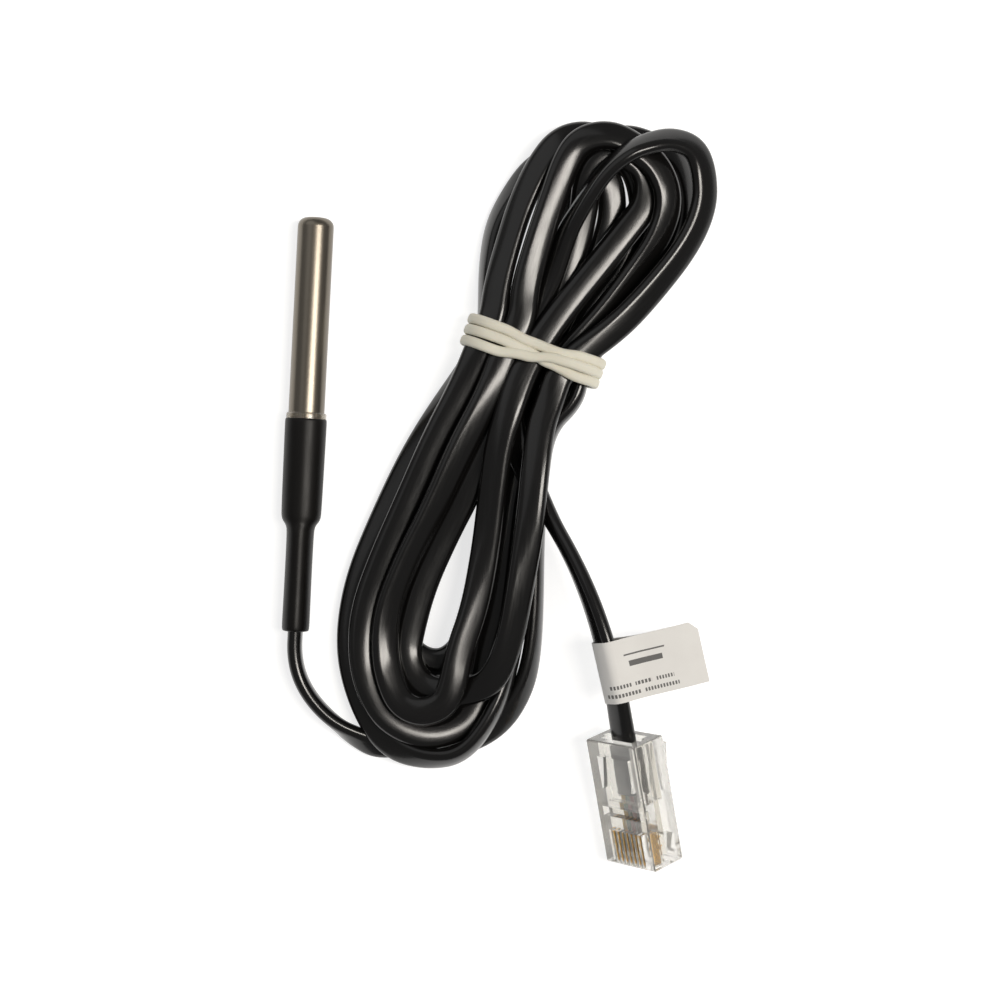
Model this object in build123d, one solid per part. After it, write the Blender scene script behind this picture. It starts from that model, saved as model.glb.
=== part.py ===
from build123d import *
import os
from math import radians, tan

# Probe tube, a thin stainless sleeve with a closed, rounded tip
tube_diameter = 6.0
tube_wall = 0.5
tube_length = 50.0
tip_radius = 1.5

# Heat-shrink sleeve over the tube's open end and the cable
sleeve_on_tube = 16.5
sleeve_shoulder = 1.6
sleeve_on_cable = 17.3
sleeve_mouth_wall = 0.5
sleeve_waist_wall = 0.3
sleeve_cable_wall = 1.0
sleeve_end_chamfer = 0.4

# Bead of hot-melt adhesive squeezed out at the sleeve's mouth, keyed in a groove of the tube
bead_length = 1.0
bead_height = 0.35
bead_rounding = 0.3
key_depth = 0.25

# Flat four-core cable
cable_width = 4.8
cable_thickness = 2.5
core_count = 4
core_diameter = 0.95
core_pitch = 1.0
conductor_diameter = 0.5
jacket_in_tube = 8.0

# Sensor chip in a D-shaped package, behind the tip
chip_diameter = 4.7
chip_depth = 3.7
chip_length = 4.7
chip_setback = 1.2
lead_count = 3
lead_pitch = 1.27
lead_width = 0.45
lead_thickness = 0.38
lead_length = 8.0

# Soldered joints, their insulating sleeves, and the potting round them
joint_diameter = 0.85
joint_lap = 2.0
joint_sleeve_wall = 0.11
joint_sleeve_gap = 0.02
joint_sleeve_length = 9.5
stripped_length = 3.0
spare_core_length = 6.0
potting_length = 24.0

# Rubber band and the waist that it pulls the hank into
band_thickness = 1.2
band_width = 4.2
band_clearance = 0.3
band_centre = (36.8, 13.9)
band_turn = -16.3
waist_width = 22.4
waist_height = 8.4

# Hank of cable: outline and opening seen from above
hank_height = 10.8
hank_edge_radius = 3.5
hank_outline = [
    (25.6, 17.0), (27.8, 30.0), (34.5, 45.0), (44.4, 52.3), (57.0, 52.2), (65.6, 43.0),
    (62.0, 28.5), (50.5, 14.0), (43.2, 0.5), (41.4, -15.0), (40.4, -33.8), (34.0, -49.5),
    (24.5, -55.0), (13.0, -47.0), (7.0, -31.5), (10.5, -15.5), (19.0, 3.5),
]
hank_opening = [
    (28.4, -15.1), (28.2, -22.5), (25.8, -31.0), (22.6, -36.2), (22.2, -29.0), (25.0, -20.5),
]

# Share of the shorter run beside a corner of a lead that its arc takes up
arc_share = 0.45

# Route of the lead from the sleeve to the hank, seen from above
probe_route = [
    (0.0, -38.2), (1.0, -42.1), (3.3, -45.8), (6.8, -49.1), (10.9, -51.6), (15.2, -53.2),
    (19.4, -54.0),
]

# Route of the lead from the plug, held off the table by its stiffness, down to the hank
plug_route = [
    (51.3, -33.7, 12.3), (48.6, -26.5, 11.8), (45.3, -19.8, 10.5), (41.4, -13.5, 8.6),
    (37.2, -7.7, 6.2),
]
plug_approach = 7.5

# Paper flag label folded round the lead
label_paper = 0.15
label_slack = 0.4
label_height = 10.2
label_reach = 14.3
label_from_plug = 11.2
label_lift = 1.2
label_clip = 1.2

# Eight-way modular plug: across, rear to nose, and latch side to contact side
plug_width = 11.68
plug_length = 21.46
plug_depth = 6.6
plug_rear = (57.55, -47.65)
plug_yaw = 13.0
plug_pitch = 11.0
plug_roll = 51.0
plug_edge_radius = 0.35

# Cavities of the plug, and the jaw that grips the jacket
cable_cavity_width = 7.2
cable_cavity_height = 3.5
cable_cavity_depth = 10.6
wire_cavity_height = 1.1
wire_cavity_margin = 0.6
wire_cavity_end = 1.9
jacket_in_plug = 9.4
jaw_from_rear = 3.0
jaw_length = 5.2
jaw_width = 6.4
jaw_tip_length = 1.4
jaw_thickness = 1.1
jaw_gap = 0.4
bar_slot_from_rear = 11.4
bar_slot_length = 1.6
bar_slot_depth = 1.3

# Contacts
contact_count = 8
contact_pitch = 1.02
contact_thickness = 0.35
contact_length = 5.5
contact_sink = 0.5
contact_height = 2.1
contact_from_nose = 0.5
slot_clearance = 0.05
prong_length = 1.15
prong_width = 0.8

# Latch, moulded with the housing
latch_width = 6.2
latch_tail_width = 3.25
latch_thickness = 0.9
latch_root = 3.4
latch_tail_gap = 3.2
latch_standoff = 3.4
latch_shoulder = 8.0

# Heights and stations along the probe, worked out from the sizes above
tube_radius = tube_diameter / 2
bore_radius = tube_radius - tube_wall
axis_height = tube_radius + sleeve_mouth_wall
probe_length = tube_length + sleeve_shoulder + sleeve_on_cable
tip_y = probe_length / 2
tube_end_y = tip_y - tube_length
sleeve_mouth_y = tube_end_y + sleeve_on_tube
bead_end_y = sleeve_mouth_y + bead_length
shoulder_end_y = tube_end_y - sleeve_shoulder
sleeve_end_y = -tip_y
jacket_end_y = tube_end_y + jacket_in_tube
chip_front_y = tip_y - tube_wall - chip_setback
chip_rear_y = chip_front_y - chip_length
joint_y = chip_rear_y - lead_length
core_end_y = joint_y - stripped_length
spare_core_place = core_count - 2
waist_middle = band_thickness + waist_height / 2
groove_width = band_width + 2 * band_clearance

# Levels and stations in the plug, in its own frame: across, rear to nose, up to the contacts
cable_level = plug_depth / 2
plug_wall = (plug_depth - cable_cavity_height) / 2
contact_front = plug_length - contact_from_nose
contact_rear = contact_front - contact_length
contact_top = plug_depth - contact_sink
contact_shelf = contact_top - contact_height
wire_end = plug_length - wire_cavity_end


def rod(radius, y_from, y_to, height=axis_height):
    """Round bar along the probe, between two stations."""
    base = Plane(origin=(0, y_from, height), x_dir=(1, 0, 0), z_dir=(0, 1, 0))
    return extrude(base * Circle(radius), y_to - y_from)


def flat_section(plane, margin=0.0):
    """Section of the flat cable, or of a layer that lies over it."""
    return plane * SlotOverall(cable_width + 2 * margin, cable_thickness + 2 * margin)


def edge_on(y):
    """Plane across the probe, with the cable's wide axis upright."""
    return Plane(origin=(0, y, axis_height), x_dir=(0, 0, 1), z_dir=(0, -1, 0))


def largest(shape):
    """The biggest solid of a cut shape."""
    return max(shape.solids(), key=lambda solid: solid.volume)


def bend_radii(points):
    """Largest arc at each corner that the two runs beside it leave room for."""
    radii = []
    for before, corner, after in zip(points, points[1:], points[2:]):
        run_in = Vector(corner) - Vector(before)
        run_out = Vector(after) - Vector(corner)
        half_turn = radians(run_in.get_angle(run_out)) / 2
        radii.append(arc_share * min(run_in.length, run_out.length) / tan(half_turn))
    return radii


def smooth_route(points, name):
    """Straight runs joined by tangent arcs."""
    radii = bend_radii(points)
    route = FilletPolyline(*points, radius=radii)
    print(name, "radii", [round(radius, 1) for radius in radii], "length", round(route.length, 1))
    return route


def along(route, wide_axis, margin=0.0):
    """Flat cable, or a layer over it, that follows a route."""
    start = Plane(origin=route @ 0, x_dir=wide_axis, z_dir=route % 0)
    return sweep(flat_section(start, margin), path=route)


# Probe


def key_core():
    """What the groove under the bead leaves of the tube's outside."""
    return rod(tube_radius - key_depth, sleeve_mouth_y, bead_end_y)


def make_probe_tube():
    outside = rod(tube_radius, tube_end_y, tip_y)
    outside = fillet(outside.edges().group_by(Axis.Y)[-1], tip_radius)
    inside = rod(bore_radius, tube_end_y, tip_y - tube_wall)
    inside = fillet(inside.edges().group_by(Axis.Y)[-1], tip_radius - tube_wall)
    groove = rod(tube_radius, sleeve_mouth_y, bead_end_y) - key_core()
    return outside - inside - groove


def make_sensor_chip():
    base = Plane(origin=(0, chip_rear_y, axis_height), x_dir=(1, 0, 0), z_dir=(0, 1, 0))
    flat_side = chip_depth - chip_diameter / 2
    keep = Pos(flat_side - chip_diameter / 2, 0) * Rectangle(chip_diameter, chip_diameter)
    return extrude(base * (Circle(chip_diameter / 2) & keep), chip_length)


def lead_height(index):
    return axis_height + (index - (lead_count - 1) / 2) * lead_pitch


def core_height(index):
    return axis_height + (index - (core_count - 1) / 2) * core_pitch


def make_sensor_lead(index):
    base = Plane(origin=(0, joint_y, lead_height(index)), x_dir=(1, 0, 0), z_dir=(0, 1, 0))
    return extrude(base * Rectangle(lead_thickness, lead_width), lead_length)


def wire_route(y_from, joint_height, cable_height):
    """Wire from a joint to its place in the flat cable, sloped over the middle third of its way."""
    third = (core_end_y - jacket_end_y) / 3
    points = [
        (0, y_from, joint_height), (0, core_end_y - third, joint_height),
        (0, jacket_end_y + third, cable_height), (0, jacket_end_y, cable_height),
    ]
    return FilletPolyline(*points, radius=bend_radii(points))


def wire(radius, route):
    section = Plane(origin=route @ 0, z_dir=route % 0) * Circle(radius)
    return sweep(section, path=route)


def make_probe_wires():
    """Cores and conductors: all go to the sensor but one, a spare that is cut short."""
    cores = []
    conductors = []
    used_places = [place for place in range(core_count) if place != spare_core_place]
    for index, place in enumerate(used_places):
        heights = (lead_height(index), core_height(place))
        conductor = wire(conductor_diameter / 2, wire_route(joint_y, *heights))
        core = wire(core_diameter / 2, wire_route(core_end_y, *heights))
        conductors.append(conductor)
        cores.append(core - conductor)
    spare_height = core_height(spare_core_place)
    spare_y = jacket_end_y + spare_core_length
    conductor = rod(conductor_diameter / 2, jacket_end_y, spare_y, spare_height)
    conductors.append(conductor)
    cores.append(rod(core_diameter / 2, jacket_end_y, spare_y, spare_height) - conductor)
    return cores, conductors


def make_solder_joint(index, lead, conductor):
    height = lead_height(index)
    solder = rod(joint_diameter / 2, joint_y - joint_lap, joint_y + joint_lap, height)
    return solder - lead - conductor


def joint_sleeve_rod(index, wall):
    radius = core_diameter / 2 + joint_sleeve_gap + wall
    reach = joint_sleeve_length / 2
    return rod(radius, joint_y - reach, joint_y + reach, lead_height(index))


def make_joint_sleeve(index):
    return joint_sleeve_rod(index, joint_sleeve_wall) - joint_sleeve_rod(index, 0)


def make_potting(inner_pieces):
    """Resin round the sensor; it stays out of the joint sleeves."""
    filling = rod(bore_radius, tip_y - potting_length, tip_y - tube_wall)
    filling = fillet(filling.edges().group_by(Axis.Y)[-1], tip_radius - tube_wall)
    for index in range(lead_count):
        filling -= joint_sleeve_rod(index, joint_sleeve_wall)
    for piece in inner_pieces:
        filling -= piece
    return filling


def make_heat_shrink():
    mouth_ring = edge_on(sleeve_mouth_y) * Circle(tube_radius + sleeve_mouth_wall)
    waist_ring = edge_on(tube_end_y) * Circle(tube_radius + sleeve_waist_wall)
    neck_ring = flat_section(edge_on(shoulder_end_y), sleeve_cable_wall)
    on_tube = loft([mouth_ring, waist_ring])
    shoulder = loft([waist_ring, neck_ring])
    on_cable = extrude(neck_ring, sleeve_on_cable)
    on_cable = chamfer(on_cable.edges().group_by(Axis.Y)[0], sleeve_end_chamfer)
    bore = rod(tube_radius, tube_end_y, sleeve_mouth_y)
    bore_ring = edge_on(tube_end_y) * Circle(tube_radius)
    throat = loft([bore_ring, flat_section(edge_on(shoulder_end_y))])
    channel = extrude(flat_section(edge_on(shoulder_end_y)), sleeve_on_cable)
    return on_tube + shoulder + on_cable - bore - throat - channel


def make_adhesive_ring():
    bead = rod(tube_radius + bead_height, sleeve_mouth_y, bead_end_y)
    bead = fillet(bead.edges().group_by(Axis.Y)[-1], bead_rounding)
    return bead - key_core()


# Hank and band


def across_waist(sketch, thickness):
    """Slab across the hank where the band holds it, from a sketch with its wide axis level."""
    x, y = band_centre
    level = Location((x, y, waist_middle), (0, 0, band_turn)) * Location((0, 0, 0), (90, 0, 0))
    return extrude(level * sketch, thickness / 2, both=True)


def make_hank():
    """Outer shape of all the turns, with a groove for the band."""
    loops = extrude(make_face(Spline(*hank_outline, periodic=True)), hank_height)
    levels = loops.edges().group_by(Axis.Z)
    loops = fillet(levels[0] + levels[-1], hank_edge_radius)
    opening = extrude(make_face(Spline(*hank_opening, periodic=True)), hank_height)
    groove = across_waist(Rectangle(2 * waist_width, 2 * hank_height), groove_width)
    waist = across_waist(SlotOverall(waist_width, waist_height), groove_width)
    return loops - opening - groove + waist


def make_rubber_band():
    over = 2 * band_thickness
    outside = SlotOverall(waist_width + over, waist_height + over)
    return across_waist(outside - SlotOverall(waist_width, waist_height), band_width)


# Plug, in its own frame


def block(width, y_from, y_to, z_from, z_to):
    """Block centred across the plug."""
    centre = (0, (y_from + y_to) / 2, (z_from + z_to) / 2)
    return Pos(centre) * Box(width, y_to - y_from, z_to - z_from)


def side_profile(points, width):
    """Shape drawn on the plug's side and given a width across it."""
    base = Plane(origin=(-width / 2, 0, 0), x_dir=(0, 1, 0), z_dir=(1, 0, 0))
    return extrude(base * make_face(Polyline(*points, close=True)), width)


def contact_place(index):
    return (index - (contact_count - 1) / 2) * contact_pitch


def make_contact(index):
    """Blade with two prongs that bite into a core."""
    points = [(contact_rear, contact_top), (contact_front, contact_top), (contact_front, contact_shelf)]
    for step in (3, 1):
        prong_rear = contact_rear + step * prong_width
        points.append((prong_rear + prong_width, contact_shelf))
        points.append((prong_rear + prong_width / 2, contact_shelf - prong_length))
        points.append((prong_rear, contact_shelf))
    points.append((contact_rear, contact_shelf))
    return Pos(contact_place(index), 0, 0) * side_profile(points, contact_thickness)


def make_latch():
    """Lever that springs away from the housing towards its rear, narrower at the tail."""
    root_front = plug_length - latch_thickness
    root_rear = root_front - latch_root
    lever = side_profile([
        (root_front, 0), (root_front, -latch_thickness),
        (latch_tail_gap, -latch_standoff - latch_thickness), (latch_tail_gap, -latch_standoff),
        (root_rear, -latch_thickness), (root_rear, 0),
    ], latch_width)
    below = -latch_standoff - latch_thickness
    tail = block(latch_tail_width, 0, plug_length, below, 0)
    front = block(latch_width, plug_length - latch_shoulder, plug_length, below, 0)
    return lever & (tail + front)


def make_jaw():
    """Part of the housing's wall, pressed in to grip the jacket."""
    hinge = jaw_from_rear + jaw_length
    grip = cable_level + cable_thickness / 2
    return side_profile([
        (hinge, plug_depth), (hinge, plug_depth - plug_wall), (jaw_from_rear + jaw_tip_length, grip),
        (jaw_from_rear, grip), (jaw_from_rear, grip + jaw_thickness),
    ], jaw_width)


def make_contact_slot():
    width = contact_thickness + 2 * slot_clearance
    seat = block(width, contact_rear, plug_length, contact_shelf, plug_depth)
    return seat + block(width, contact_rear, contact_front, cable_level, contact_shelf)


def make_housing():
    body = fillet(block(plug_width, 0, plug_length, 0, plug_depth).edges(), plug_edge_radius)
    half_wire = wire_cavity_height / 2
    wire_width = contact_count * contact_pitch + wire_cavity_margin
    jaw_front = jaw_from_rear + jaw_length
    bar_front = bar_slot_from_rear + bar_slot_length
    body -= block(cable_cavity_width, 0, cable_cavity_depth, plug_wall, plug_depth - plug_wall)
    body -= block(wire_width, 0, wire_end, cable_level - half_wire, cable_level + half_wire)
    body -= block(jaw_width + 2 * jaw_gap, jaw_from_rear - jaw_gap, jaw_front, cable_level, plug_depth)
    body -= block(wire_width, bar_slot_from_rear, bar_front, plug_depth - bar_slot_depth, plug_depth)
    for index in range(contact_count):
        body -= Pos(contact_place(index), 0, 0) * make_contact_slot()
    return body + make_jaw() + make_latch()


def make_plug_wires(contacts):
    """Cores in the middle places, pierced by the contacts over them."""
    cores = []
    conductors = []
    first = (contact_count - core_count) // 2
    for place in range(first, first + core_count):
        base = Plane(origin=(contact_place(place), jacket_in_plug, cable_level), z_dir=(0, 1, 0))
        conductor = extrude(base * Circle(conductor_diameter / 2), wire_end - jacket_in_plug)
        core = extrude(base * Circle(core_diameter / 2), wire_end - jacket_in_plug)
        cores.append(core - conductor - contacts[place])
        conductors.append(conductor - contacts[place])
    return cores, conductors


def plug_seat(housing):
    """Where the plug lies: turned, pitched and rolled, with its lowest point on the table."""
    turn = Rot(0, 0, 180 + plug_yaw) * Rot(-plug_pitch, 0, 0) * Rot(0, plug_roll, 0)
    lowest = (turn * housing).bounding_box().min.Z
    return Pos(*plug_rear, -lowest) * turn


# Leads and label


def make_probe_lead(hank):
    """Straight inside the tube and the sleeve, then round to the hank."""
    points = [(0, jacket_end_y, axis_height)] + [(x, y, axis_height) for x, y in probe_route]
    return largest(along(smooth_route(points, "probe lead"), (0, 0, 1)) - hank)


def plug_lead_route(seat):
    """From the jacket's end in the plug, straight out at its rear, and down to the hank."""
    jacket_end = (seat * Pos(0, jacket_in_plug, cable_level)).position
    approach = (seat * Pos(0, -plug_approach, cable_level)).position
    return smooth_route([jacket_end, approach] + plug_route, "plug lead")


def make_plug_lead(seat, route, hank):
    return largest(along(route, Plane(seat).x_dir) - hank)


def make_label(seat, route):
    """Paper folded round the lead, with its two ends stuck together as a flag."""
    station = jacket_in_plug + label_from_plug
    middle = route.position_at(station, position_mode=PositionMode.LENGTH)
    tangent = route.tangent_at(station, position_mode=PositionMode.LENGTH)
    round_lead = Plane(origin=middle, x_dir=Plane(seat).x_dir, z_dir=tangent)
    channel = extrude(flat_section(round_lead, label_slack), label_height / 2, both=True)
    fold = extrude(flat_section(round_lead, label_slack + label_paper), label_height / 2, both=True)
    outward = tangent.cross(Vector(0, 0, 1))
    face = Plane(origin=middle, x_dir=outward, z_dir=outward.cross(tangent))
    sheet = Pos(label_reach / 2, 0) * Rectangle(label_reach, label_height)
    far_corners = sheet.vertices().sort_by(Axis.X)[-2:]
    sheet = chamfer(far_corners.sort_by(Axis.Y)[-1], label_clip)
    flag = extrude(face.offset(label_lift) * sheet, 2 * label_paper)
    return fold + flag - channel


def build():
    """Every piece of the probe, by node name."""
    leads = [make_sensor_lead(index) for index in range(lead_count)]
    cores, conductors = make_probe_wires()
    chip = make_sensor_chip()
    nodes = {
        "probe_tube": make_probe_tube(),
        "sensor_chip": chip,
        "potting_compound": make_potting([chip] + leads + cores + conductors),
        "heat_shrink_sleeve": make_heat_shrink(),
        "adhesive_ring": make_adhesive_ring(),
    }
    for index in range(lead_count):
        number = index + 1
        nodes[f"sensor_lead_{number}"] = leads[index]
        nodes[f"solder_joint_{number}"] = make_solder_joint(index, leads[index], conductors[index])
        nodes[f"joint_sleeve_{number}"] = make_joint_sleeve(index)
    for index in range(core_count):
        nodes[f"probe_core_{index + 1}"] = cores[index]
        nodes[f"probe_conductor_{index + 1}"] = conductors[index]

    hank = make_hank()
    housing = make_housing()
    seat = plug_seat(housing)
    route = plug_lead_route(seat)
    nodes["cable_probe_lead"] = make_probe_lead(hank)
    nodes["cable_hank"] = hank
    nodes["cable_plug_lead"] = make_plug_lead(seat, route, hank)
    nodes["rubber_band"] = make_rubber_band()
    nodes["cable_label"] = make_label(seat, route)

    contacts = [make_contact(index) for index in range(contact_count)]
    plug_cores, plug_conductors = make_plug_wires(contacts)
    nodes["plug_housing"] = seat * housing
    for index in range(contact_count):
        nodes[f"plug_contact_{index + 1}"] = seat * contacts[index]
    for index in range(core_count):
        nodes[f"plug_core_{index + 1}"] = seat * plug_cores[index]
        nodes[f"plug_conductor_{index + 1}"] = seat * plug_conductors[index]
    return nodes


os.makedirs("parts", exist_ok=True)
for name, shape in build().items():
    export_step(shape, f"parts/{name}.step")
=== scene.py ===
# %% [markdown]
# A cable temperature probe, seen from straight above. A thin steel tube holds the sensor, a
# heat-shrink sleeve joins it to a flat black cable, and the cable lies in a hank tied by a rubber
# band before it ends in a clear modular plug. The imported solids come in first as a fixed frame:
# they say where each piece lies and how large it is, and everything below is dressed onto them.

# %% Load the frame
from math import cos, pi, radians, sin
import bpy
import numpy as np
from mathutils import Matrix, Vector


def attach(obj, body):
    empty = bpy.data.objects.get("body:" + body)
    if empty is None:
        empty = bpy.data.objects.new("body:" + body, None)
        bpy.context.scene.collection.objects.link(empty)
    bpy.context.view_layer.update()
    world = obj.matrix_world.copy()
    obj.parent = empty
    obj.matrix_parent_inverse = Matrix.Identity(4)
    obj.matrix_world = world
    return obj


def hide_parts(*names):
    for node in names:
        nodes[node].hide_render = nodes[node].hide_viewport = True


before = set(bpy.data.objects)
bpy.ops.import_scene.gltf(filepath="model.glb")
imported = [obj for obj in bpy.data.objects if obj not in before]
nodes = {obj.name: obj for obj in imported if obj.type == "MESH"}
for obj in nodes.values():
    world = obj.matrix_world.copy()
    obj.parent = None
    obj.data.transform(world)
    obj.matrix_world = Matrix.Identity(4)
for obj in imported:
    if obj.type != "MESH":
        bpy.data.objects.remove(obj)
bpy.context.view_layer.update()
MM = 0.001
print("solids in the frame:", len(nodes))


def start_clean():
    """Nothing selected, so the next operator acts on its own piece only."""
    if bpy.context.object and bpy.context.object.mode != "OBJECT":
        bpy.ops.object.mode_set(mode="OBJECT")
    bpy.ops.object.select_all(action="DESELECT")


# %% [markdown]
# The camera looks straight down from a little over a third of a metre, turned by three degrees.
# A short distance with a long lens keeps the small perspective that a product photograph has: the
# plug, which stands higher, looks a touch larger than the cable on the table. The camera comes
# first because the cable is laid against the photograph's outlines.

# %% Camera
camera_point = Vector((32.96, -10.93, 360.0)) * MM
camera_turn = radians(2.9)
camera_data = bpy.data.cameras.new("overhead_camera")
camera_data.sensor_width = 36.0
camera_data.lens = 77.0
camera = bpy.data.objects.new("overhead_camera", camera_data)
camera.location = camera_point
camera.rotation_euler = (0, 0, camera_turn)
bpy.context.collection.objects.link(camera)
bpy.context.scene.camera = camera
print("camera height in mm:", round(camera_point.z / MM))

# %% [markdown]
# The cable is one length of flat flex, wound six times round and tied in the middle. Its turns are
# laid where the photograph shows them: each point has the pixel that it is seen at, its
# height over the table in millimetres, and its roll, which says how far the wide side is turned up
# from lying flat. The camera is known, so a pixel and a height make a point. Under the band, points
# are counted along and across it from the middle of the waist. A last number says how firmly a
# point keeps its place when the turns settle.

# %% Points of the cable
photo_size = 1000
focal_pixels = photo_size * camera_data.lens / camera_data.sensor_width
waist_middle = (36.8, 13.9)
waist_turn = radians(-16.3)
tied_hold, lead_hold = 0.5, 9


def turned(right, upward, angle):
    """A step to the right and upward, turned about the upright axis."""
    return right * cos(angle) - upward * sin(angle), right * sin(angle) + upward * cos(angle)


def seen(x, y, height, roll, hold=0.25):
    """Point at a height over the table, by the pixel of the photograph where it is seen."""
    reach = (camera_point.z / MM - height) / focal_pixels
    step = turned((x - photo_size / 2) * reach, (photo_size / 2 - y) * reach, camera_turn)
    return (camera_point.x / MM + step[0], camera_point.y / MM + step[1], height, roll, hold)


def tied(along, height, roll, across):
    """Point under the band, counted from the middle of the waist."""
    step = turned(along, across, waist_turn)
    return (waist_middle[0] + step[0], waist_middle[1] + step[1], height, roll, tied_hold)


# the leads: (x, y, height in mm, roll in degrees, hold)
from_probe = [
    (0.0, -7.5, 3.5, 90, lead_hold), (0.0, -21.0, 3.5, 90, lead_hold), (0.0, -34.0, 3.5, 90, lead_hold),
    (0.0, -38.2, 3.5, 90, lead_hold), (1.0, -42.1, 3.4, 90, lead_hold), (3.3, -45.8, 3.2, 90, lead_hold),
    (6.8, -49.1, 2.9, 88, lead_hold), (10.9, -51.6, 2.4, 72, 1), (15.2, -53.2, 1.6, 32, 1),
]
to_plug = [
    (41.4, -13.5, 7.4, 82, lead_hold), (45.3, -19.8, 9.8, 80, lead_hold),
    (48.6, -26.5, 11.5, 72, lead_hold), (51.3, -33.7, 12.3, 64, lead_hold),
    (53.5, -41.5, 11.8, 57, lead_hold), (54.6, -46.5, 10.8, 51, lead_hold),
    (55.9, -51.9, 9.7, 51, lead_hold), (57.2, -57.6, 8.6, 51, lead_hold),
]
turn_1 = [
    seen(415, 740, 1.4, 10), seen(456, 741, 1.4, 12), seen(494, 724, 1.8, 40), seen(519, 690, 2.3, 65),
    seen(530, 650, 2.5, 80), seen(534, 600, 2.5, 85), seen(535, 540, 2.5, 85), seen(539, 480, 2.5, 85),
    seen(550, 432, 3.2, 85), tied(9.6, 5.4, 80, -5.5), tied(9.7, 5.4, 80, 0), seen(612, 325, 4.48, 75),
    seen(650, 283, 3.0, 60), seen(676, 240, 2.5, 55), seen(684, 200, 2.4, 55), seen(675, 163, 2.4, 50),
    seen(652, 146, 2.6, 35), seen(624, 140, 2.6, 20), seen(600, 152, 2.4, 5), seen(578, 188, 1.9, 0),
    seen(560, 230, 1.8, 0), seen(547, 275, 2.5, 0), tied(-4.7, 5.4, 0, 5.5), tied(-5.0, 5.4, 0, 0),
    tied(-5.4, 4.6, 0, -6), seen(462, 440, 2.5, 0), seen(441, 490, 1.5, 0), seen(418, 550, 1.4, 0),
    seen(403, 600, 1.4, 0), seen(403, 627, 1.4, 0), seen(410, 649, 1.4, 0),
]
turn_2 = [
    seen(427, 661, 1.4, 0), seen(447, 660, 1.4, 0), seen(464, 643, 1.4, 0), seen(476, 610, 1.4, 0),
    seen(486, 560, 1.4, 0), seen(495, 500, 1.4, 0), seen(504, 445, 1.5, 0), tied(1.6, 2.7, 0, -6),
    tied(2.2, 2.7, 0, 0), seen(562, 320, 2.2, 5), seen(588, 285, 1.6, 5), seen(605, 247, 1.5, 5),
    seen(613, 213, 1.5, 5), seen(609, 180, 1.5, 5), seen(590, 160, 1.7, 5), seen(562, 156, 2.2, 10),
    seen(535, 168, 2.6, 40), seen(512, 194, 2.6, 65), seen(495, 225, 2.6, 72), seen(486, 262, 2.8, 75),
    seen(482, 300, 4.0, 78), tied(-9.6, 5.4, 80, 1.5), tied(-9.7, 5.2, 75, -4), seen(436, 410, 3.4, 45),
    seen(410, 460, 2.0, 20), seen(383, 520, 1.6, 8), seen(362, 575, 1.4, 4), seen(352, 625, 1.4, 4),
    seen(354, 668, 1.8, 8), seen(369, 711, 3.0, 22), seen(393, 741, 4.2, 40),
]
turn_3 = [
    seen(428, 752, 3.4, 68), seen(464, 746, 3.2, 74), seen(493, 713, 3.0, 76), seen(509, 672, 2.8, 78),
    seen(517, 625, 2.6, 82), seen(519, 570, 2.5, 85), seen(521, 510, 2.5, 80), seen(530, 455, 2.6, 60),
    tied(6.2, 3.0, 5, -6), tied(6.8, 2.7, 0, 0), seen(590, 320, 2.6, 25), seen(620, 279, 2.2, 36),
    seen(637, 242, 2.0, 30), seen(642, 206, 2.0, 28), seen(634, 173, 2.8, 28), seen(614, 150, 3.8, 20),
    seen(588, 138, 4.2, 10), seen(561, 144, 4.0, 12), seen(540, 168, 3.6, 28), seen(522, 205, 3.4, 38),
    seen(509, 245, 3.4, 42), seen(499, 285, 4.6, 38), tied(-7.6, 8.1, 28, 3), tied(-8.0, 8.0, 25, -1.5),
    seen(464, 385, 6.8, -6, 0.3), seen(436, 440, 5.6, -12, 0.3), seen(409, 500, 4.4, -4, 0.3),
    seen(385, 555, 4.0, 2, 0.3), seen(367, 607, 4.0, 2, 0.3), seen(363, 653, 4.2, -4, 0.3),
    seen(371, 692, 4.6, 0, 0.3), seen(390, 722, 5.0, 5, 0.3),
]
turn_4 = [
    seen(424, 738, 5.0, 8), seen(459, 727.97, 4.6, 5), seen(478, 694, 3.6, 5), seen(488, 655, 3.0, 0),
    seen(497, 605, 2.8, 0), seen(504, 545, 2.8, 0), seen(511, 490, 2.8, 0), seen(524, 440, 3.4, 0),
    seen(541, 401, 4.8, 0), tied(5.8, 5.4, 0, 0), seen(605, 321, 4.6, 30), seen(640, 276, 3.4, 40),
    seen(661, 240, 3.6, 30), seen(668, 203, 3.9, 18), seen(656, 170, 4.6, 14), seen(632, 149, 5.2, 20),
    seen(609, 139, 5.8, 10), seen(586, 142, 6.2, 2), seen(568, 161, 6.0, -10), seen(552, 205, 6.0, -26),
    seen(539, 245, 6.2, -28), seen(527.01, 287, 7.2, -10), tied(-3.0, 8.1, 10, 4),
    tied(-3.5, 8.1, 15, -1.5), seen(491, 395, 6.8, -24, 0.3), seen(463, 448, 5.6, -44, 0.9),
    seen(436, 505, 4.6, -44, 0.9), seen(408, 560, 4.0, -44, 0.9), seen(389, 610, 4.0, -34, 0.7),
    seen(386, 653, 4.4, -16, 0.5), seen(392, 683, 5.4, -4, 0.3), seen(403, 703, 6.6, 0, 0.3),
]
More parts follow.
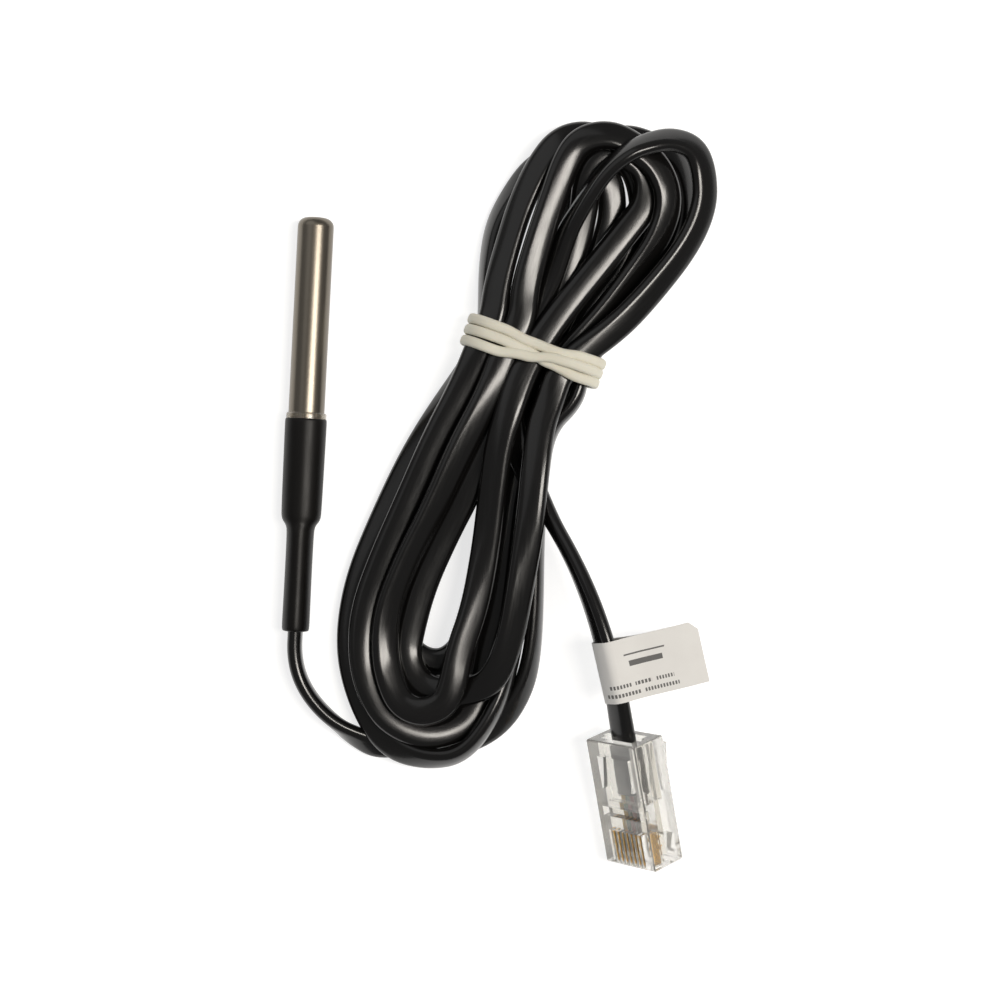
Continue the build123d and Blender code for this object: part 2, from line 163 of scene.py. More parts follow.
turn_5 = [
    seen(422, 711, 7.2, 0, 0.3), seen(442, 704, 7.4, 6, 0.3), seen(453, 685, 7.2, 14, 0.3),
    seen(461, 651, 6.4, 26, 0.3), seen(475, 605, 5.0, 28, 0.3), seen(485, 550, 4.4, -22, 0.3),
    seen(491, 495, 5.2, -32, 0.3), seen(496, 447, 6.4, -32, 0.3), seen(505, 409, 7.6, -24, 0.3),
    seen(516, 377, 8.4, -8, 0.5), seen(532, 347, 8.5, -2, 0.5), seen(554, 317, 7.6, 4, 0.3),
    seen(578, 289, 6.2, 8, 0.3), seen(603, 260, 5.0, 4, 0.3), seen(626, 232, 4.2, 0),
    seen(643, 208, 3.9, 5), seen(647, 184, 4.0, 8), seen(638, 164, 4.2, 8), seen(618, 155, 4.3, 2),
    seen(599, 162, 4.3, -4), seen(587, 183, 4.3, -8), seen(582, 213, 4.3, -12),
    seen(572, 250, 4.3, -14), seen(556, 290, 4.8, -8), tied(1.2, 5.6, 0, 5), tied(0.0, 5.4, 0, 0),
    tied(-1.4, 5.0, 0, -6), seen(490, 435, 3.8, 0), seen(468, 490, 3.6, 0),
    seen(446, 535, 4.0, -5, 0.3), seen(424, 585, 3.8, -10, 0.3), seen(411, 630, 3.8, -8, 0.3),
    seen(408, 658, 4.0, 0, 0.3), seen(420, 682, 4.4, 0, 0.3),
]
turn_6 = [
    seen(444, 692, 4.8, 0, 0.3), seen(471, 690, 5.0, 4, 0.3), seen(494, 677, 5.4, 16, 0.3),
    seen(510, 640, 6.0, 58, 0.3), seen(520, 590, 6.4, 48, 0.3), seen(529, 530, 6.8, -18, 0.3),
    seen(535, 475, 7.6, -18, 0.3), seen(541, 430, 8.0, -10, 0.3), seen(551, 398, 8.2, 8, 0.3),
    tied(6.5, 8.1, 18, -0.5), seen(612, 331, 7.0, 30), seen(648, 295, 5.4, 40), seen(683, 250, 4.4, 45),
    seen(701, 210, 4.2, 36), seen(702, 176, 4.8, 32), seen(692, 152, 5.8, 32), seen(671, 143, 7.0, 40),
    seen(648, 146, 7.8, 56), seen(627, 155, 8.2, 74), seen(605, 174, 7.8, 84), seen(584, 204, 6.4, 80),
    seen(567, 237, 5.2, 60), seen(553, 278, 4.2, 25), seen(534, 318, 3.2, 5), tied(-2.6, 2.7, 0, -1.0),
    seen(510, 398, 3.4, 5), seen(516, 438, 4.6, 14), seen(528, 474, 5.8, 48),
]
laid_points = from_probe + turn_1 + turn_2 + turn_3 + turn_4 + turn_5 + turn_6 + to_plug
print("points laid:", len(laid_points))

# %% [markdown]
# Points laid one by one let strands pass through each other, so the hank has to settle as it would on a
# table. Each stretch of the flat cable is taken as three round wires side by side. Where wires of
# two strands share room they push each other apart, mostly in height. The table pushes up, the band
# keeps the waist together, and every point is drawn back to where it was laid. A push on an outer
# wire also rolls the cable. First come the two helpers that read the spline at many places at once.

# %% Samples along the cable
jacket_width = 4.8 * MM
jacket_thickness = 2.5 * MM
thickness = jacket_thickness / MM
wire_radius = thickness / 2
wire_places = np.array([-1, 0, 1]) * (jacket_width - jacket_thickness) / MM / 2
samples_per_span = 6


def spline_shares(count):
    """Share of each control point in each sample of the spline, and in its heading there."""
    spans = count - 2
    knots = [0, 0, *range(spans + 1), spans, spans]
    shares = np.zeros((spans * samples_per_span + 1, count))
    slopes = np.zeros_like(shares)
    for row, station in enumerate(np.linspace(0, spans, len(shares))):
        span = min(int(station), spans - 1)
        before, start, end, after = knots[span + 1:span + 5]
        first = (end - station) ** 2 / (end - before)
        last = (station - start) ** 2 / (after - start)
        shares[row, span:span + 3] = first, 1 - first - last, last
        first = -2 * (end - station) / (end - before)
        last = 2 * (station - start) / (after - start)
        slopes[row, span:span + 3] = first, -first - last, last
    return shares, slopes


def cable_samples(shares, slopes, control, rolls):
    """Places along the cable, its wide direction there, and the way its edge moves in a roll."""
    heading = slopes @ control
    heading /= np.linalg.norm(heading, axis=1)[:, None]
    level = np.stack([-heading[:, 1], heading[:, 0], np.zeros(len(heading))], 1)
    level /= np.linalg.norm(level, axis=1)[:, None]
    upper = np.cross(heading, level)
    roll = np.radians(shares @ rolls)[:, None]
    wide = np.cos(roll) * level + np.sin(roll) * upper
    edgeways = np.cos(roll) * upper - np.sin(roll) * level
    return shares @ control, wide, edgeways


print("wires at, in mm:", wire_places.round(2))

# %% [markdown]
# Three things push on the wires: other strands, the table and the band. Each helper gives the wires
# that it touches and how far it would move them. To look at every pair of wires in every step would
# take minutes, so pairs that are near each other are listed once and used until something has moved
# by half the spare distance of that list.

# %% Pushes on the wires
# lengths in mm; wires closer than same_stretch along the cable don't push each other
same_stretch = 12.0
touch_share, least_distance = 0.995, 1e-9
sideways_share = np.array([0.3, 0.3, 1.0])
waist_height, waist_radius, waist_half = 5.4, 4.2, 7.0
waist_depth, waist_reach = 3.0, 14.0
spare_distance = 2.0


def list_near_pairs(wires):
    """Pairs of wire points that could touch soon, looked up a block at a time."""
    found = []
    block = 300
    for start in range(0, len(wires), block):
        gaps = np.linalg.norm(wires[start:start + block, None] - wires[None], axis=2)
        first, second = np.nonzero(gaps < thickness + spare_distance)
        first += start
        found.append(np.stack([first, second])[:, first < second])
    return np.concatenate(found, axis=1)


def strand_pushes(wires, places, pairs):
    """Wires of two strands that share room, each moved by half of it."""
    first, second = pairs
    run = np.concatenate([[0], np.cumsum(np.linalg.norm(np.diff(places, axis=0), axis=1))])
    gap = wires[first] - wires[second]
    distance = np.linalg.norm(gap, axis=1) + least_distance
    apart = abs(run[first // 3] - run[second // 3]) > same_stretch
    touching = apart & (distance < touch_share * thickness)
    first, second, gap, distance = first[touching], second[touching], gap[touching], distance[touching]
    push = ((thickness - distance) / distance / 2)[:, None] * gap * sideways_share
    return np.concatenate([first, second]), np.concatenate([push, -push])


def table_pushes(wires):
    """Wires that are below the table's top, moved up onto it."""
    under = np.nonzero(wires[:, 2] < wire_radius)[0]
    push = np.zeros((len(under), 3))
    push[:, 2] = wire_radius - wires[under, 2]
    return under, push


def band_pushes(wires, places):
    """Wires that stand out of the waist, moved back into its rounded outline."""
    along = turned(*(wires[:, :2] - waist_middle).T, -waist_turn)[0]
    middle_across = turned(*(places[:, :2] - waist_middle).T, -waist_turn)[1]
    over = along - np.clip(along, -waist_half, waist_half)
    height = wires[:, 2] - waist_height
    reach = np.hypot(over, height)
    inside = (abs(np.repeat(middle_across, 3)) < waist_depth) & (abs(along) <= waist_reach)
    outer = np.nonzero(inside & (reach > waist_radius - wire_radius))[0]
    pull = (waist_radius - wire_radius) / reach[outer] - 1
    return outer, np.stack([*turned(over[outer] * pull, 0, waist_turn), height[outer] * pull], 1)


print("waist in mm:", 2 * (waist_half + waist_radius), "by", 2 * waist_radius)

# %% [markdown]
# A quadratic spline doesn't pass its control points: half way along a span it takes an eighth, six
# eighths and an eighth of three of them. Solving for those shares gives control points whose line
# does pass the laid points. The pushes on one sample of the cable are averaged, and with them the
# roll that they ask for.

# %% Start of the line and mean of the pushes
def control_through(laid):
    """Control points of the hank whose spline passes the laid points; the leads stay as laid."""
    passing = np.eye(len(laid))
    for row in range(2, len(laid) - 2):
        passing[row, row - 1:row + 2] = 1 / 8, 6 / 8, 1 / 8
    control = np.linalg.solve(passing, laid)
    control[:len(from_probe)] = laid[:len(from_probe)]
    control[-len(to_plug):] = laid[-len(to_plug):]
    return control


def mean_pushes(wires, places, edgeways, pairs):
    """Mean push and mean roll on each sample, and which samples are touched."""
    touches = [strand_pushes(wires, places, pairs), table_pushes(wires), band_pushes(wires, places)]
    wire = np.concatenate([touch[0] for touch in touches])
    push = np.concatenate([touch[1] for touch in touches])
    sample = wire // 3
    lever = wire_places[wire % 3] * (push * edgeways[sample]).sum(1)
    count = np.bincount(sample, minlength=len(places))
    total = [np.bincount(sample, part, minlength=len(places)) for part in (*push.T, lever)]
    mean = np.stack(total, 1) / np.maximum(count, 1)[:, None]
    return mean[:, :3], mean[:, 3], count > 0


def in_line(values):
    """How far each value is from the mean of its neighbours; none at the ends."""
    away = np.zeros_like(values)
    away[1:-1] = (values[:-2] + values[2:]) / 2 - values[1:-1]
    return away


laid_places = np.array(laid_points, dtype=float)[:, :3]
control_steps = np.linalg.norm(control_through(laid_places) - laid_places, axis=1)
print("furthest control point from its laid point, in mm:", control_steps.max().round(1))

# %% [markdown]
# A thousand small steps are enough for the strands to come to rest on each other. In each step the
# mean pushes are handed to the control points by their shares. Then every point is drawn back
# towards its laid place, height and roll, sags a little, and keeps in line with its neighbours,
# because a cable is stiff. The result is rounded to tenths of a millimetre.

# %% Settle the hank
settle_steps = 1000
push_share, twist_share, sag = 1.2, 0.35, 0.0024
place_pull, height_pull, roll_pull = 0.09, 0.03, 0.22
height_levelling, roll_levelling, stiffness = 0.05, 0.08, 0.035
least_weight, longest_step, largest_twist = 0.2, 0.3, 3.0
least_ease, ease_rate = 0.2, 1.1


def settle(points):
    """Control points and rolls of the cable, after the strands have come to rest."""
    points = np.array(points, dtype=float)
    laid, laid_rolls = points[:, :3], points[:, 3]
    free, hold = points[:, 4] < lead_hold, np.minimum(points[:, 4], 1)
    target = control_through(laid)
    control, rolls = target.copy(), laid_rolls.copy()
    shares, slopes = spline_shares(len(laid))
    listed = None
    for step in range(settle_steps):
        places, wide, edgeways = cable_samples(shares, slopes, control, rolls)
        wires = (places[:, None] + wire_places[:, None] * wide[:, None]).reshape(-1, 3)
        if listed is None or np.linalg.norm(wires - listed, axis=1).max() > spare_distance / 2:
            listed, pairs = wires, list_near_pairs(wires)
        push, lever, touched = mean_pushes(wires, places, edgeways, pairs)
        weight = np.maximum(shares.T @ touched.astype(float), least_weight * shares.sum(0))
        move = push_share * (shares.T @ push) / weight[:, None]
        twist = twist_share * np.degrees((shares.T @ lever) / weight / wire_places[2] ** 2)
        ease = max(least_ease, 1 - ease_rate * step / settle_steps)
        move[:, :2] += place_pull * hold[:, None] * (target - control)[:, :2]
        move[:, 2] += height_pull * ease * (laid - control)[:, 2] - sag
        move[:, 2] += height_levelling * in_line(control[:, 2])
        twist += roll_pull * ease * (laid_rolls - rolls)
        bent = np.diff(control - target * (1, 1, 0), n=2, axis=0)
        move[2:-2] -= stiffness * np.diff(bent, n=2, axis=0)
        control[free] += np.clip(move, -longest_step, longest_step)[free]
        rolls[free] += np.clip(twist, -largest_twist, largest_twist)[free]
        lowest = wire_radius + wire_places[2] * abs(np.sin(np.radians(rolls)))
        control[free, 2] = np.maximum(control[free, 2], lowest[free])
        rolls[free] += roll_levelling * in_line(rolls)[free]
    return control.round(1).tolist(), rolls.round().tolist()


settled_points, settled_rolls = settle(laid_points)
print("highest control point in mm:", max(height for x, y, height in settled_points))

# %% [markdown]
# One smooth spline runs along the settled points, and a second one carries the roll, so place and
# twist change together. Blender's own curve is made a mesh with no thickness, and its vertices are
# the line that the jacket follows.

# %% Line of the cable
def read_spline(name, points):
    """Points along one smooth open spline, read from Blender's own curve."""
    curve = bpy.data.curves.new(name, "CURVE")
    curve.dimensions = "3D"
    curve.resolution_u = 8
    spline = curve.splines.new("NURBS")
    spline.points.add(len(points) - 1)
    for control, place in zip(spline.points, points):
        control.co = (*place, 1.0)
    spline.order_u = 3
    spline.use_endpoint_u = True
    holder = bpy.data.objects.new(name, curve)
    line = bpy.data.meshes.new_from_object(holder)
    places = [vertex.co.copy() for vertex in line.vertices]
    bpy.data.objects.remove(holder)
    bpy.data.curves.remove(curve)
    bpy.data.meshes.remove(line)
    return places


cable_line = read_spline("cable_line", [(x * MM, y * MM, z * MM) for x, y, z in settled_points])
cable_rolls = [place.x for place in read_spline("cable_roll", [(roll, 0, 0) for roll in settled_rolls])]
cable_length = sum((b - a).length for a, b in zip(cable_line, cable_line[1:]))
print("cable points:", len(cable_line), "length in m:", round(cable_length, 3))

# %% [markdown]
# The jacket is extruded plastic, so its section is the same all along: two half rounds joined by
# faces that are a little crowned. A ring of that section is set on every point of the line, turned
# by the roll, and the rings are joined into one tube. A curve bevel can't hold a section at a
# given roll through so many crossings, which is why the tube is made ring by ring. Its UV map runs
# along and around the cable, for marks that follow it.

# %% Jacket of the cable
jacket_crown = 0.09 * MM


def jacket_section(steps=8):
    """Offsets across and up, once round the flat section."""
    half = (jacket_width - jacket_thickness) / 2
    radius = jacket_thickness / 2
    right = [radians(-90 + 180 * step / steps) for step in range(steps + 1)]
    edge = [(half + radius * cos(turn), (radius - jacket_crown) * sin(turn)) for turn in right]
    face = [(half * share, radius - jacket_crown * share * share) for share in (0.6, 0.2, -0.2, -0.6)]
    return edge + face + [(-across, -up) for across, up in edge + face]


def jacket_tube(name, line, rolls):
    """Closed tube of the flat section that follows a line."""
    section = jacket_section()
    count = len(section)
    vertices = []
    for index, place in enumerate(line):
        ahead = (line[min(index + 1, len(line) - 1)] - line[max(index - 1, 0)]).normalized()
        inner = Vector((-ahead.y, ahead.x, 0)).normalized()
        upper = ahead.cross(inner)
        roll = radians(rolls[index])
        wide = inner * cos(roll) + upper * sin(roll)
        face = ahead.cross(wide)
        vertices += [place + wide * across + face * up for across, up in section]
    faces = []
    for ring in range(len(line) - 1):
        for side in range(count):
            after = (side + 1) % count
            faces.append((ring * count + side, ring * count + after,
                          (ring + 1) * count + after, (ring + 1) * count + side))
    faces.append(tuple(reversed(range(count))))
    faces.append(tuple((len(line) - 1) * count + side for side in range(count)))
    mesh = bpy.data.meshes.new(name)
    mesh.from_pydata(vertices, [], faces)
    uv = mesh.uv_layers.new(name="along_and_around")
    run = [0.0]
    for before, after in zip(line, line[1:]):
        run.append(run[-1] + (after - before).length)
    for polygon in mesh.polygons[:-2]:
        ring, side = divmod(polygon.index, count)
        corners = ((ring, side), (ring, side + 1), (ring + 1, side + 1), (ring + 1, side))
        for loop, (at_ring, at_side) in zip(polygon.loop_indices, corners):
            uv.data[loop].uv = (run[at_ring], at_side / count)
        polygon.use_smooth = True
    tube = bpy.data.objects.new(name, mesh)
    bpy.context.collection.objects.link(tube)
    return tube


cable = jacket_tube("cable_jacket", cable_line, cable_rolls)
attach(cable, "root")
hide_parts("cable_probe_lead", "cable_hank", "cable_plug_lead")
print("cable faces:", len(cable.data.polygons))

# %% [markdown]
# Nearly every surface here varies a little: tone, gloss and a fine grain that catches the light.
# That is one shader node group, built once and placed in each finish with its own tones, gloss and
# grain size. Its stretch input squeezes the noise along one direction, which turns the same noise
# into brushed or drawn lines. The group gives out only what changes over the surface; the shader
# itself stays in each finish.

# %% Shared surface variation
def build_surface_variation():
    group = bpy.data.node_groups.new("surface_variation", "ShaderNodeTree")
    sockets = group.interface
    for name, kind in (("Dark Tone", "NodeSocketColor"), ("Light Tone", "NodeSocketColor"),
                       ("Gloss Side", "NodeSocketFloat"), ("Dull Side", "NodeSocketFloat"),
                       ("Grain Scale", "NodeSocketFloat"), ("Stretch", "NodeSocketVector"),
                       ("Place", "NodeSocketVector")):
        sockets.new_socket(name=name, in_out="INPUT", socket_type=kind)
    for name, kind in (("Tone", "NodeSocketColor"), ("Roughness", "NodeSocketFloat"),
                       ("Height", "NodeSocketFloat")):
        sockets.new_socket(name=name, in_out="OUTPUT", socket_type=kind)
    make, link = group.nodes.new, group.links.new
    given, result = make("NodeGroupInput"), make("NodeGroupOutput")
    stretched = make("ShaderNodeVectorMath")
    stretched.operation = "MULTIPLY"
    patches, grain = make("ShaderNodeTexNoise"), make("ShaderNodeTexNoise")
    patches.inputs["Detail"].default_value = 3.0
    grain.inputs["Detail"].default_value = 6.0
    grain.inputs["Roughness"].default_value = 0.65
    coarse = make("ShaderNodeMath")
    coarse.operation = "MULTIPLY"
    coarse.inputs[1].default_value = 0.12
    tone, gloss = make("ShaderNodeMix"), make("ShaderNodeMapRange")
    tone.data_type = "RGBA"
    link(given.outputs["Place"], stretched.inputs[0])
    link(given.outputs["Stretch"], stretched.inputs[1])
    link(given.outputs["Grain Scale"], coarse.inputs[0])
    link(stretched.outputs[0], patches.inputs["Vector"])
    link(coarse.outputs[0], patches.inputs["Scale"])
    link(stretched.outputs[0], grain.inputs["Vector"])
    link(given.outputs["Grain Scale"], grain.inputs["Scale"])
    link(patches.outputs["Fac"], tone.inputs["Factor"])
    link(given.outputs["Dark Tone"], tone.inputs["A"])
    link(given.outputs["Light Tone"], tone.inputs["B"])
    link(grain.outputs["Fac"], gloss.inputs["Value"])
    link(given.outputs["Gloss Side"], gloss.inputs["To Min"])
    link(given.outputs["Dull Side"], gloss.inputs["To Max"])
    gloss.inputs["From Min"].default_value = 0.3
    gloss.inputs["From Max"].default_value = 0.7
    link(tone.outputs["Result"], result.inputs["Tone"])
    link(gloss.outputs["Result"], result.inputs["Roughness"])
    link(grain.outputs["Fac"], result.inputs["Height"])
    return group


surface_variation = build_surface_variation()


def new_finish(name, dark, light, gloss, dull, scale, stretch=(1, 1, 1), bump=0.05, depth=0.02,
               uv=False):
    """Material whose tone, gloss and grain come from the shared group, and its shader."""
    finish = bpy.data.materials.new(name)
    finish.use_nodes = True
    make, link = finish.node_tree.nodes.new, finish.node_tree.links.new
    shader = finish.node_tree.nodes["Principled BSDF"]
    place, vary, relief = make("ShaderNodeTexCoord"), make("ShaderNodeGroup"), make("ShaderNodeBump")
    vary.node_tree = surface_variation
    vary.inputs["Dark Tone"].default_value = (*dark, 1)
    vary.inputs["Light Tone"].default_value = (*light, 1)
    vary.inputs["Gloss Side"].default_value = gloss
    vary.inputs["Dull Side"].default_value = dull
    vary.inputs["Grain Scale"].default_value = scale
    vary.inputs["Stretch"].default_value = stretch
    relief.inputs["Strength"].default_value = bump
    relief.inputs["Distance"].default_value = depth * MM
    link(place.outputs["UV" if uv else "Object"], vary.inputs["Place"])
    link(vary.outputs["Tone"], shader.inputs["Base Color"])
    link(vary.outputs["Roughness"], shader.inputs["Roughness"])
    link(vary.outputs["Height"], relief.inputs["Height"])
    link(relief.outputs["Normal"], shader.inputs["Normal"])
    return finish, shader


def dress(piece, finish):
    """Gives a piece, or a solid of the frame, its finish."""
    if not piece.material_slots:
        piece.data.materials.append(finish)
    for place in piece.material_slots:
        place.material = finish


print("surface variation sockets:", len(surface_variation.interface.items_tree))

# %% [markdown]
# The jacket is soft black plastic, glossy from the die it was drawn through. Drawn plastic carries
# very fine lines along its length, so the grain is squeezed along the cable by way of its UV map.
# A thin clear coat gives the crisp lines of light on the rounded edges, over a base that is a
# little duller.

# %% Finish of the jacket
jacket_black, shader = new_finish(
    "jacket_black", (0.0030, 0.0028, 0.0028), (0.0058, 0.0054, 0.0052), 0.16, 0.26, 220.0,
    stretch=(1.0, 0.12, 1.0), bump=0.04, depth=0.01, uv=True)
shader.inputs["Specular IOR Level"].default_value = 0.36
shader.inputs["Coat Weight"].default_value = 0.12
shader.inputs["Coat Roughness"].default_value = 0.12
dress(cable, jacket_black)
print("finish:", jacket_black.name)

# %% [markdown]
# The heat-shrink sleeve is a plastic tube that was slipped over the joint and shrunk with hot air,
# so it hugs the round steel tube at one end and the flat cable, standing on edge, at the other.
# The two are joined by a soft shoulder. A circle is extruded station by station and each new ring
# is scaled to the section there; a subdivision surface then gives the rounding that shrinking
# leaves. That keeps the shoulder soft, which a loft between two sections doesn't.

# %% Heat-shrink sleeve
axis_height = 3.5 * MM
# (station along the probe, half width, half height) in mm
sleeve_rings = [
    (0.95, 3.04, 3.04), (0.95, 3.36, 3.36), (0.80, 3.47, 3.47), (0.30, 3.50, 3.50), (-6.0, 3.44, 3.44),
    (-12.0, 3.38, 3.38), (-14.8, 3.34, 3.34), (-15.6, 3.26, 3.30), (-16.2, 2.98, 3.22), (-16.7, 2.56, 3.22),
    (-17.3, 2.32, 3.32), (-18.6, 2.25, 3.40), (-25.0, 2.24, 3.38), (-31.5, 2.28, 3.40), (-33.9, 2.30, 3.42),
    (-34.3, 2.20, 3.32), (-34.45, 2.05, 3.16), (-34.45, 1.32, 2.46),
]


def extrude_rings(name, rings, height, sides=40):
    """Tube along the probe: a ring that is extruded and scaled from station to station."""
    start_clean()
    first_y, first_wide = rings[0][:2]
    bpy.ops.mesh.primitive_circle_add(vertices=sides, radius=first_wide * MM, rotation=(pi / 2, 0, 0),
                                      location=(0, first_y * MM, height))
    piece = bpy.context.object
    piece.name = name
    bpy.ops.object.transform_apply(location=True, rotation=True, scale=True)
    bpy.ops.object.mode_set(mode="EDIT")
    bpy.ops.mesh.select_all(action="SELECT")
    for before, after in zip(rings, rings[1:]):
        bpy.ops.mesh.extrude_region_move(
            TRANSFORM_OT_translate={"value": (0, (after[0] - before[0]) * MM, 0)})
        bpy.ops.transform.resize(value=(after[1] / before[1], 1, after[2] / before[2]),
                                 center_override=(0, after[0] * MM, height))
    bpy.ops.mesh.select_all(action="SELECT")
    bpy.ops.mesh.normals_make_consistent(inside=False)
    bpy.ops.object.mode_set(mode="OBJECT")
    return piece


def smooth_over(piece, levels):
    """Subdivision surface, applied, with smooth shading."""
    start_clean()
    bpy.context.view_layer.objects.active = piece
    piece.select_set(True)
    rounding = piece.modifiers.new("rounding", "SUBSURF")
    rounding.levels = rounding.render_levels = levels
    bpy.ops.object.modifier_apply(modifier=rounding.name)
    bpy.ops.object.shade_smooth()


sleeve = extrude_rings("shrunk_sleeve", sleeve_rings, axis_height)
smooth_over(sleeve, 2)
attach(sleeve, "root")
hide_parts("heat_shrink_sleeve")
print("sleeve faces:", len(sleeve.data.polygons))

# %% [markdown]
# Shrunk plastic has a satin skin: duller than the cable, with faint marks pulled along its length.
# The tube is drawn stainless steel, polished along its length, so its grain is squeezed the same
# way, and its tones are a little warm. The bead at the sleeve's mouth is hot-melt glue that the
# shrinking pressed out: clear enough to show the steel under it.

# %% Finishes of the probe
sleeve_black, shader = new_finish(
    "sleeve_black", (0.0026, 0.0022, 0.0019), (0.0048, 0.0040, 0.0034), 0.36, 0.46, 900.0,
    stretch=(1, 0.15, 1), bump=0.15, depth=0.02)
shader.inputs["Specular IOR Level"].default_value = 0.22
dress(sleeve, sleeve_black)
drawn_steel, shader = new_finish(
    "drawn_steel", (0.170, 0.150, 0.122), (0.225, 0.202, 0.168), 0.29, 0.37, 2600.0,
    stretch=(1, 0.008, 1), bump=0.04, depth=0.01)
shader.inputs["Metallic"].default_value = 1.0
dress(nodes["probe_tube"], drawn_steel)
clear_glue, shader = new_finish(
    "clear_glue", (0.62, 0.57, 0.48), (0.72, 0.67, 0.58), 0.14, 0.24, 700.0, bump=0.1, depth=0.03)
shader.inputs["Transmission Weight"].default_value = 0.9
shader.inputs["IOR"].default_value = 1.48
dress(nodes["adhesive_ring"], clear_glue)
print("finishes:", sleeve_black.name, drawn_steel.name, clear_glue.name)

# %% [markdown]
# A rubber band holds the hank: one loop wound three times, so three strands lie side by side on
# the left and climb over each other on the way to the right. A strand starts as a small square
# with bevelled corners, which is extruded across the top of the hank, spun round the right edge,
# extruded back underneath and spun round the left edge. Each strand is then eased sideways by a
# short table, because hand-wound strands are never parallel.

# %% Rubber band
band_middle = Vector((37.2, 13.8, 5.4)) * MM
band_along = Vector((cos(waist_turn), sin(waist_turn), 0))
band_across = Vector((-band_along.y, band_along.x, 0))
band_up = Vector((0, 0, 1))
band_half = 6.6 * MM
strand_width, strand_thickness = 1.75 * MM, 1.3 * MM
strand_radius = waist_radius * MM + strand_thickness / 2
corner_share = 0.47
run_steps, bend_steps = 28, 20
lift_height = 3 * MM
# place along the band, shift across it and lift of each strand, in mm, from left to right
strand_shifts = [
    [(-12, 1.90, 0.0), (-6, 1.75, 0.0), (-1, 1.15, 0.1), (4, 0.95, 0.3), (8, 1.60, 0.15),
     (12, 1.80, 0.0)],
    [(-12, 0.05, 0.2), (-6, 0.00, 0.1), (-1, -0.45, 0.0), (3, -1.15, 0.0), (8, -1.75, 0.0),
     (12, -1.50, 0.1)],
    [(-12, -1.85, 0.0), (-6, -2.05, 0.0), (-1, -1.30, 0.55), (4, -0.15, 0.85), (8, 0.00, 0.65),
     (12, 0.15, 0.4)],
]


def band_point(along, across, up):
    return band_middle + band_along * along + band_across * across + band_up * up


def eased(table, place):
    """Shift and lift at a place, eased between the rows of a table."""
    for (start, *first), (end, *second) in zip(table, table[1:]):
        if place <= end:
            share = min(max((place - start) / (end - start), 0), 1)
            share = share * share * (3 - 2 * share)
            return [a + (b - a) * share for a, b in zip(first, second)]
    return table[-1][1:]


def wind_strand(name, shifts):
    """One strand of the band, as a closed loop round the waist of the hank."""
    start_clean()
    facing = band_along.to_track_quat("Z", "Y").to_euler()
    bpy.ops.mesh.primitive_plane_add(size=1, rotation=facing,
                                     location=band_point(-band_half, 0, strand_radius))
    strand = bpy.context.object
    strand.name = name
    strand.scale = (strand_width, strand_thickness, 1)
    bpy.ops.object.transform_apply(location=True, rotation=True, scale=True)
    bpy.ops.object.mode_set(mode="EDIT")
    bpy.ops.mesh.select_all(action="SELECT")
    bpy.ops.mesh.bevel(offset=corner_share * strand_thickness, segments=5, affect="VERTICES")
    bpy.ops.mesh.select_all(action="SELECT")
    bpy.ops.mesh.delete(type="ONLY_FACE")
    bpy.ops.mesh.select_all(action="SELECT")
    for side in (1, -1):
        for step in range(run_steps):
            bpy.ops.mesh.extrude_region_move(
                TRANSFORM_OT_translate={"value": band_along * (side * 2 * band_half / run_steps)})
        bpy.ops.mesh.spin(steps=bend_steps, angle=pi, center=band_point(side * band_half, 0, 0),
                          axis=-band_across)
    bpy.ops.mesh.select_all(action="SELECT")
    bpy.ops.mesh.remove_doubles(threshold=0.02 * MM)
    bpy.ops.mesh.normals_make_consistent(inside=False)
    bpy.ops.object.mode_set(mode="OBJECT")
    for vertex in strand.data.vertices:
        offset = vertex.co - band_middle
        shift, lift = eased(shifts, offset.dot(band_along) / MM)
        upper = min(max(offset.z / lift_height, 0), 1)
        vertex.co += band_across * shift * MM + band_up * lift * MM * upper
    bpy.ops.object.shade_smooth()
    return strand


band_strands = [wind_strand(f"band_strand_{number}", shifts)
                for number, shifts in enumerate(strand_shifts, 1)]
start_clean()
for strand in band_strands:
    strand.select_set(True)
bpy.context.view_layer.objects.active = band_strands[0]
bpy.ops.object.join()
band = bpy.context.object
band.name = "tie_band"
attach(band, "root")
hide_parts("rubber_band")
print("band faces:", len(band.data.polygons))

# %% [markdown]
# Plain natural rubber is cream coloured and dusted with talc at the works, so it is dull and
# slightly blotchy. Light enters a little way below its surface, and a small amount of subsurface
# scattering keeps its shaded side warm.

# %% Finish of the band
cream_rubber, shader = new_finish(
    "cream_rubber", (0.66, 0.63, 0.52), (0.78, 0.76, 0.66), 0.55, 0.75, 1500.0, bump=0.6, depth=0.08)
shader.inputs["Subsurface Weight"].default_value = 0.15
shader.inputs["Subsurface Radius"].default_value = (0.0012, 0.0009, 0.0006)
dress(band, cream_rubber)
print("finish:", cream_rubber.name)

# %% [markdown]
# A paper label is folded round the lead and its two ends are stuck together, so it stands out as a
# small flag. It is a strip of paper: one narrow face whose end edge is extruded step by step, out
# of the flag, over the lead, round below it and back to the flag's end. A bisect clips the
# corner, and a Solidify modifier gives the strip the thickness of paper.

# %% Label
label_middle = Vector((52.48, -37.87, 12.04)) * MM
lead_along = Vector((-0.2711, 0.9607, 0.0596)).normalized()
flag_out = Vector((0.9624, 0.2716, 0)).normalized()
flag_up = flag_out.cross(lead_along)
label_height = 10.2 * MM
paper_thickness = 0.12 * MM
corner_clip = (13.9, 0.3)
clip_facing = flag_out * 0.72 + lead_along * 0.69
